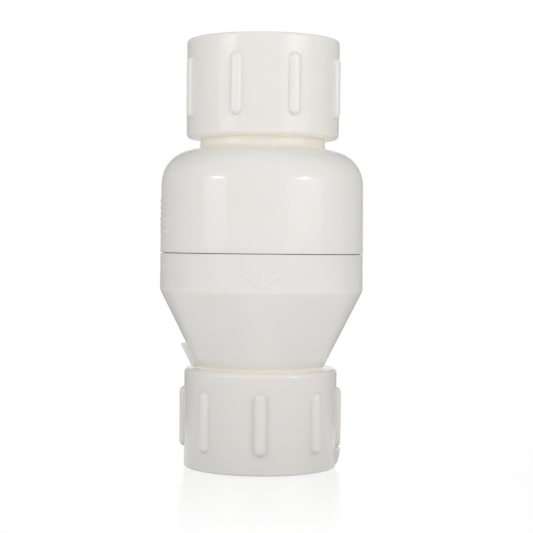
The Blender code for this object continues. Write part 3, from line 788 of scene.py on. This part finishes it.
def inlet_casing():
    points = inlet_casing_points()
    low = LABEL_BARS[-1][1] - 1.5
    high = LABEL_BARS[0][1] + LABEL_BAR_HEIGHT + 1.5
    points = refine_between(points, low, high, FINE_STEP, SHOULDER_RADIUS - 0.01)
    turns = dense_turns(BODY_TURNS, [(LABEL_TURN, 11.5 / SEAM_RADIUS)], FINE_STEP / SEAM_RADIUS)

    def shape(radius, height, turn):
        if radius > SHOULDER_RADIUS - 0.01 and low < height < high:
            radius += label_height(turn, height)
        return radius, height

    return skin("inlet_casing_shell", points, turns, shape)


def refine_between(points, low, high, step, least_radius):
    """Adds points to the outer wall between two heights."""
    fine = []
    for here, after in zip(points, points[1:] + points[:1]):
        fine.append(here)
        outer = min(here.x, after.x) > least_radius
        drop = here.y - after.y
        if not outer or drop < step:
            continue
        top = min(here.y, high)
        foot = max(after.y, low)
        if top - foot < step:
            continue
        count = math.ceil((top - foot) / step)
        for index in range(count + 1):
            height = top + (foot - top) * index / count
            if here.y - height > 0.01 and height - after.y > 0.01:
                fine.append(here.lerp(after, (here.y - height) / drop))
    return fine


def cone_radius(height):
    slope = (BAND_RADIUS - CONE_FOOT_RADIUS) / (BAND_FOOT - CONE_FOOT)
    return CONE_FOOT_RADIUS + slope * (height - CONE_FOOT)


def outlet_casing():
    spigot_foot = low_mm("outlet_casing")[2]
    corners = [
        (SOCKET_RADIUS, SEAM_TOP - CEMENT_GAP, 0),
        (SEAM_RADIUS - SEAM_DEPTH, SEAM_TOP - CEMENT_GAP, 0),
        (SEAM_RADIUS - SEAM_DEPTH, SEAM_FOOT, 0),
        (SEAM_RADIUS, SEAM_FOOT, 0.3),
        (BAND_RADIUS, BAND_FOOT, 3.5),
        (CONE_FOOT_RADIUS, CONE_FOOT, 0),
        (SPIGOT_RADIUS, CONE_FOOT - CEMENT_GAP, 0),
        (SPIGOT_RADIUS, spigot_foot, 0.8),
        (BORE_RADIUS, spigot_foot),
        (BORE_RADIUS, CONE_FOOT + 1.0, 6.0),
        (cone_radius(CONE_INSIDE_TOP) - CONE_WALL, CONE_INSIDE_TOP, 2.0),
        (GUIDE_SEAT_RADIUS, CONE_INSIDE_TOP, 0.6),
        (GUIDE_SEAT_RADIUS, GUIDE_SHELF),
        (SOCKET_RADIUS, GUIDE_SHELF),
    ]
    points = rounded(corners)
    low, high = ARROW_BAND
    points = refine_between(points, low, high, FINE_STEP, BAND_RADIUS - 0.6)
    points = refine_between(points, CONE_FOOT, FIN_TOP + 1.0, 0.3, CONE_FOOT_RADIUS - 0.2)
    bands = [(FRONT, 11.0 / SEAM_RADIUS), (FIN_TURN, 3.0 / FIN_RADIUS)]
    turns = dense_turns(BODY_TURNS, bands, FINE_STEP / SEAM_RADIUS)

    def shape(radius, height, turn):
        if radius > BAND_RADIUS - 0.6 and low < height < high:
            radius += arrow_height(turn, height)
        on_cone = CONE_FOOT < height < FIN_TOP + 1.0 and radius > cone_radius(height) - 0.4
        if on_cone:
            radius += fin_height(turn, height)
        return radius, height

    return skin("outlet_casing_shell", points, turns, shape)


# ---------------------------------------------------------------- inner pieces

def ring_points(inner_radius, outer_radius, foot, top, rounding=0.2):
    corners = [
        (inner_radius, top, rounding),
        (outer_radius, top, rounding),
        (outer_radius, foot, rounding),
        (inner_radius, foot, rounding),
    ]
    return rounded(corners)


def node_ring(node, inner_radius, rounding=0.2):
    """A plain ring as tall and as wide as its CAD node."""
    return ring_points(inner_radius, high_mm(node)[1], low_mm(node)[2], high_mm(node)[2], rounding)


def o_ring_points(node, radius, thickness):
    """A round ring half way up its CAD node."""
    height = (low_mm(node)[2] + high_mm(node)[2]) / 2
    return list(reversed(arc((radius, height), thickness / 2, ARC_STEP, math.tau)))


def seat_ring_points():
    seat_face = low_mm("seat_ring")[2]
    seat_top = high_mm("seat_ring")[2]
    body_foot = seat_face + SEAT_LIP_HEIGHT
    corners = [
        (BORE_RADIUS, seat_top, 0.8),
        (SEAT_RADIUS, seat_top),
        (SEAT_RADIUS, SEAT_GROOVE_TOP),
        (SEAT_GROOVE_RADIUS, SEAT_GROOVE_TOP),
        (SEAT_GROOVE_RADIUS, SEAT_GROOVE_FOOT),
        (SEAT_RADIUS, SEAT_GROOVE_FOOT),
        (SEAT_RADIUS, body_foot),
        (28.9, body_foot),
        (28.3, seat_face, 0.3),
        (26.7, seat_face, 0.3),
        (BORE_RADIUS, body_foot, 0.5),
    ]
    return rounded(corners)


def disc_points():
    corners = [
        (STEM_BORE_RADIUS, DISC_TOP),
        (SEAL_BED_RADIUS, DISC_TOP),
        (SEAL_BED_RADIUS, DISC_RIM_TOP),
        (DISC_RADIUS, DISC_RIM_TOP, 0.4),
        (DISC_RADIUS, 132.0, 1.5),
        (BOSS_RADIUS, 128.0, 1.5),
        (BOSS_RADIUS, BOSS_FOOT, 0.6),
        (13.2, BOSS_FOOT, 0.6),
        (13.2, 130.5, 0.8),
        (STEM_BORE_RADIUS, 130.5),
    ]
    return rounded(corners)


def retainer_points():
    top = high_mm("seal_retainer")[2]
    foot = low_mm("seal_retainer")[2]
    corners = [
        (STEM_BORE_RADIUS, top),
        (8.5, top, 0.8),
        (24.9, 140.5, 1.0),
        (24.9, 138.5),
        (17.5, 138.5),
        (17.5, foot),
        (STEM_BORE_RADIUS, foot),
    ]
    return rounded(corners)


def stem_points():
    top = high_mm("poppet_stem")[2]
    foot = low_mm("poppet_stem")[2]
    corners = [
        (0, top),
        (STEM_RADIUS, top, 0.8),
        (STEM_RADIUS, 130.2),
        (9.0, 130.2, 0.4),
        (9.0, 127.7, 0.4),
        (STEM_RADIUS, 127.7),
        (STEM_RADIUS, 76.5),
        (3.0, 76.5),
        (3.0, 74.9),
        (STEM_RADIUS, 74.9),
        (STEM_RADIUS, foot, 0.8),
        (0, foot),
    ]
    points = rounded(corners, closed=False)
    thread_step = STEM_THREAD_PITCH / 12
    closed = points + [points[0]]
    return refine_between(closed, STEM_THREAD_FOOT - 0.5, top, thread_step, STEM_RADIUS - 0.1)[:-1]


def stem_shape(radius, height, turn):
    """Cuts the stem's screw thread above the poppet."""
    if radius > STEM_RADIUS - 0.1 and height > STEM_THREAD_FOOT:
        phase = (height / STEM_THREAD_PITCH - turn / math.tau) % 1.0
        fade = smooth_step((height - STEM_THREAD_FOOT) / 0.8)
        radius -= STEM_THREAD_HEIGHT * abs(2 * phase - 1) * fade
    return radius, height


def nut_points():
    foot = low_mm("stem_nut")[2]
    top = high_mm("stem_nut")[2]
    corners = [
        (STEM_BORE_RADIUS, top, 0.3),
        (NUT_CORNER_RADIUS, top, 0),
        (NUT_CORNER_RADIUS, foot, 0),
        (STEM_BORE_RADIUS, foot, 0.3),
    ]
    points = rounded(corners)
    fine = []
    for here, after in zip(points, points[1:] + points[:1]):
        outer_ends = (here.x > 7) + (after.x > 7)
        steps = (1, 6, 20)[outer_ends]
        fine.append(here)
        fine.extend(here.lerp(after, index / steps) for index in range(1, steps))
    return fine


def nut_shape(radius, height, turn):
    """Hexagon across flats of 13 mm with both ends chamfered."""
    foot = low_mm("stem_nut")[2]
    top = high_mm("stem_nut")[2]
    flat = NUT_HALF_WIDTH / math.cos(math.remainder(turn - math.pi / 6, math.pi / 3))
    flat = min(flat, NUT_CORNER_RADIUS - 0.02)
    from_end = min(height - foot, top - height)
    limit = min(flat, NUT_FACE_RADIUS + from_end * 1.75)
    if radius > NUT_CORNER_RADIUS - 0.01:
        return limit, height
    if radius > 5.0:
        return min(radius, NUT_FACE_RADIUS - (NUT_CORNER_RADIUS - radius) * 0.01), height
    return radius, height


def coil():
    """Closed and ground compression spring as one swept tube."""
    foot = low_mm("spring")[2]
    top = high_mm("spring")[2]
    mean_radius = high_mm("spring")[1] - WIRE_RADIUS
    steps = 72
    height = top - foot - 2 * WIRE_RADIUS
    active_count = COIL_COUNT - 2
    active_pitch = (height - 2 * DEAD_PITCH) / active_count
    sides = 18
    verts = []
    count = COIL_COUNT * steps + 1
    for index in range(count):
        turned = index / steps
        rise = DEAD_PITCH * min(turned, 1) + active_pitch * max(0, min(turned - 1, active_count))
        rise += DEAD_PITCH * max(0, turned - COIL_COUNT + 1)
        angle = math.tau * turned
        for side in range(sides):
            around_wire = math.tau * side / sides
            radius = mean_radius + WIRE_RADIUS * math.cos(around_wire)
            z = foot + WIRE_RADIUS + rise + WIRE_RADIUS * math.sin(around_wire)
            z = min(max(z, foot + GROUND), top - GROUND)
            verts.append((radius * math.cos(angle) * MM, radius * math.sin(angle) * MM, z * MM))
    faces = []
    for index in range(count - 1):
        for side in range(sides):
            beside = (side + 1) % sides
            start = index * sides
            faces.append((start + side, start + sides + side, start + sides + beside, start + beside))
    faces.append(tuple(reversed(range(sides))))
    faces.append(tuple(range((count - 1) * sides, count * sides)))
    mesh = bpy.data.meshes.new("coil_spring")
    mesh.from_pydata(verts, [], [tuple(reversed(face)) for face in faces])
    mesh.shade_smooth()
    return mesh


def spoke(turn):
    """One of the guide's arms, a bar with rounded edges."""
    shape = bmesh.new()
    bmesh.ops.create_cube(shape, size=1.0)
    bmesh.ops.scale(shape, vec=Vector(GUIDE_ARM_SIZE) * MM, verts=shape.verts)
    bmesh.ops.bevel(shape, geom=shape.edges[:], offset=0.8 * MM, segments=4, profile=0.5, affect="EDGES")
    outwards = Matrix.Translation(Vector(GUIDE_ARM_CENTRE) * MM)
    shape.transform(Matrix.Rotation(turn, 4, "Z") @ outwards)
    return shape


def guide_mesh():
    """Spring cup and flanged drum, joined by four arms."""
    cup = [
        (CUP_BORE_RADIUS, CUP_TOP, 0.5),
        (CUP_RADIUS, CUP_TOP, 0.5),
        (CUP_RADIUS, 88.0, 1.5),
        (10.0, CUP_FOOT, 1.0),
        (6.3, CUP_FOOT),
        (6.3, CUP_FLOOR),
        (CUP_BORE_RADIUS, CUP_FLOOR, 0.8),
    ]
    drum = [
        (39.0, 91.4, 0.4),
        (SKIRT_RADIUS, 91.4, 0.3),
        (SKIRT_RADIUS, 88.4, 0.3),
        (41.7, 88.4),
        (41.7, 82.0, 0.4),
        (39.0, 82.0, 0.4),
    ]
    whole = bmesh.new()
    loose = [skin("guide_cup", rounded(cup), even_turns(SMALL_TURNS))]
    loose.append(skin("guide_drum", rounded(drum), even_turns(BODY_TURNS)))
    for turn in even_turns(GUIDE_ARM_COUNT):
        arm = spoke(turn + math.pi / GUIDE_ARM_COUNT)
        arm_mesh = bpy.data.meshes.new("guide_arm")
        arm.to_mesh(arm_mesh)
        arm.free()
        loose.append(arm_mesh)
    for mesh in loose:
        whole.from_mesh(mesh)
        bpy.data.meshes.remove(mesh)
    joined = bpy.data.meshes.new("spoked_guide")
    whole.to_mesh(joined)
    whole.free()
    joined.shade_smooth()
    return joined


def open_ring(name, points, middle_turn, gap):
    """A ring with a gap of the given width in radians."""
    count = 120
    first = middle_turn + gap / 2
    sweep = math.tau - gap
    turns = [first + sweep * index / count for index in range(count + 1)]
    return skin(name, points, turns, open_ends=True)


# ---------------------------------------------------------------- assembly

def add_hubs():
    ribs = OUTLET_RIB_TURNS
    pad_bands = [(GATE_PAD_TURN, 4.0 / HUB_RADIUS)]
    outlet = hub("outlet_hub_shell", HUB_LENGTH, OUTLET_RIM_ROUND, ribs, pad_bands, gate_pad_height)
    # The outlet hub's white is darkened as painted shade
    outlet_pvc = pvc("outlet_hub_shaded_white_pvc", OUTLET_HUB_PAINTED_SHADE)
    piece("outlet_hub_shell", outlet, outlet_pvc, BODY, ["outlet_hub"])
    ribs = INLET_RIB_TURNS
    inlet = hub("inlet_hub_shell", INLET_HUB_LENGTH, INLET_RIM_ROUND, ribs, upside_down=True)
    piece("inlet_hub_shell", inlet, pvc("inlet_hub_white_pvc"), BODY, ["inlet_hub"])


def add_casings():
    inlet_pvc = pvc("inlet_casing_white_pvc")
    piece("inlet_casing_shell", inlet_casing(), inlet_pvc, BODY, ["inlet_casing"])
    outlet_pvc = pvc("outlet_casing_white_pvc")
    piece("outlet_casing_shell", outlet_casing(), outlet_pvc, BODY, ["outlet_casing"])


def turned(name, points, material, body, node, slot, turns=BODY_TURNS, shape=None):
    """Adds a piece that is turned about the axis."""
    mesh = skin(name, points, even_turns(turns), shape)
    piece(name, mesh, material, body, [node])


def steel_ring(name, node, body, inner_radius, material):
    """Adds a small flat ring as large as its CAD node."""
    points = node_ring(node, inner_radius)
    turned(name, points, steel(material), body, node, "stainless_steel", SMALL_TURNS)


def steel_clip(name, node, body, inner_radius, material, middle_turn, gap):
    """Adds a split ring as large as its CAD node."""
    mesh = open_ring(name, node_ring(node, inner_radius), middle_turn, gap)
    piece(name, mesh, steel(material), body, [node])


def add_seat():
    seat = acetal("seat_acetal")
    turned("turned_seat_ring", seat_ring_points(), seat, BODY, "seat_ring", "white_acetal")
    points = o_ring_points("seat_o_ring", SEAT_SEAL_RADIUS, SEAT_SEAL_THICKNESS)
    turned("seat_seal_ring", points, rubber("seat_seal_rubber"), BODY, "seat_o_ring", "black_rubber")
    points = o_ring_points("casing_o_ring", JOINT_SEAL_RADIUS, JOINT_SEAL_THICKNESS)
    seal = rubber("joint_seal_rubber")
    turned("joint_seal_ring", points, seal, BODY, "casing_o_ring", "black_rubber")
    middle = math.radians(120)
    gap = 9.0 / SEAT_RADIUS
    steel_clip("retaining_ring", "seat_snap_ring", BODY, 31.4, "retaining_ring_steel", middle, gap)


def add_guide():
    piece("spoked_guide", guide_mesh(), acetal("spider_acetal"), BODY, ["guide_spider"])
    flange_foot = 91.3
    corners = [
        (4.07, high_mm("guide_bush")[2], 0.5),
        (8.0, high_mm("guide_bush")[2], 0.3),
        (8.0, flange_foot),
        (6.0, flange_foot),
        (6.0, low_mm("guide_bush")[2], 0.4),
        (4.07, low_mm("guide_bush")[2], 0.5),
    ]
    bush = acetal("bush_acetal")
    turned("stem_bush", rounded(corners), bush, BODY, "guide_bush", "white_acetal", SMALL_TURNS)
    points = node_ring("stop_bumper", 12.9, 0.6)
    bumper = rubber("landing_rubber")
    turned("landing_bumper", points, bumper, BODY, "stop_bumper", "black_rubber", SMALL_TURNS)
    steel_ring("spring_rest", "lower_spring_washer", BODY, 8.4, "spring_rest_steel")
    wire = steel("spring_wire_steel", 900.0)
    spring = piece("coil_spring", coil(), wire, BODY, ["spring"])
    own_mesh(spring)


def add_poppet():
    steel_ring("spring_washer", "thrust_washer", FOLLOWER, STEM_BORE_RADIUS, "spring_washer_steel")
    disc = pvc("disc_white_pvc", glows=False)
    turned("moulded_disc", disc_points(), disc, POPPET, "poppet_disc", "white_pvc")
    points = node_ring("poppet_seal", 17.8, 0.35)
    turned("face_seal", points, rubber("face_seal_rubber"), POPPET, "poppet_seal", "black_rubber")
    nose = steel("nose_steel")
    turned("nose_plate", retainer_points(), nose, POPPET, "seal_retainer", "stainless_steel")
    stem = steel("stem_steel")
    mesh = skin("threaded_stem", stem_points(), even_turns(SMALL_TURNS), stem_shape, solid=True)
    piece("threaded_stem", mesh, stem, POPPET, ["poppet_stem"], weld=True)
    middle = math.radians(60)
    gap = 0.8 / 5.8
    steel_clip("split_washer", "lock_washer", POPPET, STEM_BORE_RADIUS, "split_washer_steel", middle, gap)
    nut = steel("nut_steel")
    turned("hexagon_nut", nut_points(), nut, POPPET, "stem_nut", "stainless_steel", 180, nut_shape)
    steel_ring("end_washer", "stem_end_washer", POPPET, STEM_BORE_RADIUS, "end_washer_steel")
    steel_clip("groove_clip", "stem_clip", POPPET, 3.3, "clip_steel", math.radians(-30), 1.15)


# ---------------------------------------------------------------- stage

def add_camera():
    lens = bpy.data.cameras.new("camera")
    lens.lens = CAMERA_LENS
    lens.sensor_width = CAMERA_SENSOR
    camera = bpy.data.objects.new("camera", lens)
    bpy.context.scene.collection.objects.link(camera)
    upright = Matrix.Rotation(math.pi / 2, 4, "X")
    turn = Matrix.Rotation(CAMERA_YAW, 4, "Z")
    tilt = Matrix.Rotation(CAMERA_PITCH, 4, "X")
    roll = Matrix.Rotation(CAMERA_ROLL, 4, "Z")
    place = Matrix.Translation((0, -CAMERA_DISTANCE * MM, CAMERA_HEIGHT * MM))
    camera.matrix_world = place @ turn @ upright @ tilt @ roll
    bpy.context.scene.camera = camera


def add_world():
    """White to the eye; a soft room, brightest in front, that lights the plastic.

    The gloss mirrors dark cards behind at both sides, which reach further in towards the top.
    """
    world = bpy.data.worlds.new("studio")
    bpy.context.scene.world = world
    nodes = Nodes(world)
    direction = nodes.add("ShaderNodeTexCoord").outputs["Generated"]
    parts = nodes.add("ShaderNodeSeparateXYZ", {0: direction}).outputs
    frontal = nodes.math("MULTIPLY_ADD", parts["Y"], -ROOM_FRONT, ROOM_LIGHT)
    strength = nodes.math("MULTIPLY_ADD", parts["Z"], ROOM_TOP, frontal)
    room_white = (1.0, 1.0, 1.0, 1.0)
    room = nodes.add("ShaderNodeBackground", {"Color": room_white, "Strength": strength}).outputs[0]
    upward = nodes.math("MAXIMUM", parts["Z"], 0.0)
    widening = nodes.math("MULTIPLY_ADD", upward, CARD_WIDENING, 1.0)
    spread = nodes.math("MULTIPLY", nodes.math("ABSOLUTE", parts["X"]), widening)
    aside = nodes.span(spread, 0.15, 0.40, 0.0, 1.0, smooth=True)
    behind = nodes.span(parts["Y"], -0.2, 0.5, 0.0, 1.0, smooth=True)
    card = nodes.math("MULTIPLY", aside, behind)
    shine = nodes.span(card, 0.0, 1.0, 1.0, CARD_LIGHT)
    cards = nodes.add("ShaderNodeBackground", {"Color": room_white, "Strength": shine}).outputs[0]
    white = nodes.add("ShaderNodeBackground", {"Color": room_white, "Strength": 1.0}).outputs[0]
    path = nodes.add("ShaderNodeLightPath").outputs
    seen = nodes.choose(path["Is Glossy Ray"], white, cards)
    lit = nodes.choose(path["Is Diffuse Ray"], seen, room)
    nodes.add("ShaderNodeOutputWorld", {"Surface": lit})


def add_floor():
    """White sweep with a reflection that fades; clear from below, so that the foot can be looked at."""
    mesh = bpy.data.meshes.new("floor")
    reach = FLOOR_REACH
    corners = [(-reach, -reach), (reach, -reach), (reach, reach), (-reach, reach)]
    mesh.from_pydata([(x, y, -FLOOR_DROP) for x, y in corners], [], [(0, 1, 2, 3)])
    floor = bpy.data.objects.new("floor", mesh)
    bpy.context.scene.collection.objects.link(floor)
    material = bpy.data.materials.new("white_floor")
    nodes = Nodes(material)
    place = nodes.add("ShaderNodeNewGeometry").outputs
    away = nodes.add("ShaderNodeVectorMath", {0: place["Position"]}, operation="LENGTH").outputs["Value"]
    parts = nodes.add("ShaderNodeSeparateXYZ", {0: place["Position"]}).outputs
    bounce = nodes.span(parts["Y"], -0.15, 0.15, FLOOR_BOUNCE, FLOOR_BOUNCE_BEHIND, smooth=True)
    shaded = nodes.span(away, 0.04, 0.12, FLOOR_BOUNCE_NEAR, 1.0, smooth=True)
    bounce = nodes.math("MULTIPLY", bounce, shaded)
    aside = nodes.span(nodes.math("ABSOLUTE", parts["X"]), 0.06, 0.14, 0.0, 1.0, smooth=True)
    behind = nodes.span(parts["Y"], 0.0, 0.2, 0.0, 1.0, smooth=True)
    shine = nodes.span(nodes.math("MULTIPLY", aside, behind), 0.0, 1.0, 1.0, CARD_LIGHT)
    path = nodes.add("ShaderNodeLightPath").outputs
    mirrored = nodes.span(path["Is Glossy Ray"], 0.0, 1.0, 1.0, shine)
    glow_strength = nodes.span(path["Is Diffuse Ray"], 0.0, 1.0, mirrored, bounce)
    glow = nodes.add("ShaderNodeEmission", {"Strength": glow_strength}).outputs[0]
    inputs = {"Color": (1, 1, 1, 1), "Roughness": FLOOR_ROUGHNESS}
    gloss = nodes.add("ShaderNodeBsdfGlossy", inputs).outputs[0]
    share = nodes.span(away, 0.045, 0.17, 0.22, 0.03)
    surface = nodes.choose(share, glow, gloss)
    clear = nodes.add("ShaderNodeBsdfTransparent").outputs[0]
    either = nodes.choose(place["Backfacing"], surface, clear)
    nodes.add("ShaderNodeOutputMaterial", {"Surface": either})
    mesh.materials.append(material)


def add_light(name, azimuth, height, distance, size, shine):
    """Rectangular light of even brightness aimed at the middle of the valve; azimuth 0 is in front."""
    light = bpy.data.lights.new(name, "AREA")
    light.shape = "RECTANGLE"
    light.size, light.size_y = size
    light.energy = shine * math.pi * size[0] * size[1]
    box = bpy.data.objects.new(name, light)
    box.visible_camera = False
    bpy.context.scene.collection.objects.link(box)
    turn = FRONT + math.radians(azimuth)
    tilt = math.radians(height)
    level = math.cos(tilt)
    direction = Vector((math.cos(turn) * level, math.sin(turn) * level, math.sin(tilt)))
    box.location = Vector((0, 0, TOTAL / 2 * MM)) + direction * distance
    box.rotation_euler = direction.to_track_quat("Z", "Y").to_euler()
    return box


def add_softbox(name, azimuth, height, shine):
    """Big soft light that shades the valve but isn't mirrored in its gloss."""
    size = (SOFTBOX_SIZE, SOFTBOX_SIZE)
    box = add_light(name, azimuth, height, SOFTBOX_DISTANCE, size, shine)
    box.visible_glossy = False


def add_window(name, span, shine):
    """Bright panel that only the gloss mirrors; span is first and last azimuth, low and high."""
    first_azimuth, last_azimuth, low, high = span
    width = WINDOW_DISTANCE * math.radians(last_azimuth - first_azimuth)
    size = (width, WINDOW_DISTANCE * math.radians(high - low))
    azimuth = (first_azimuth + last_azimuth) / 2
    box = add_light(name, azimuth, (low + high) / 2, WINDOW_DISTANCE, size, shine)
    box.visible_diffuse = False


def add_stage():
    add_camera()
    add_world()
    add_floor()
    add_softbox("left_softbox", LEFT_SOFTBOX, SOFTBOX_HEIGHT, SOFTBOX_SHINE)
    right_shine = SOFTBOX_SHINE * RIGHT_SOFTBOX_SHARE
    add_softbox("right_softbox", RIGHT_SOFTBOX, SOFTBOX_HEIGHT, right_shine)
    add_softbox("back_softbox", 180, 0, SOFTBOX_SHINE)
    add_window("left_window", LEFT_WINDOW, WINDOW_SHINE)
    add_window("right_window", RIGHT_WINDOW, WINDOW_SHINE * RIGHT_WINDOW_SHARE)
    add_window("left_strip", LEFT_STRIP, STRIP_SHINE)
    add_window("right_strip", RIGHT_STRIP, STRIP_SHINE)
    scene = bpy.context.scene
    scene.view_settings.view_transform = "Standard"
    scene.view_settings.look = "None"


add_hubs()
add_casings()
add_seat()
add_guide()
add_poppet()
add_stage()
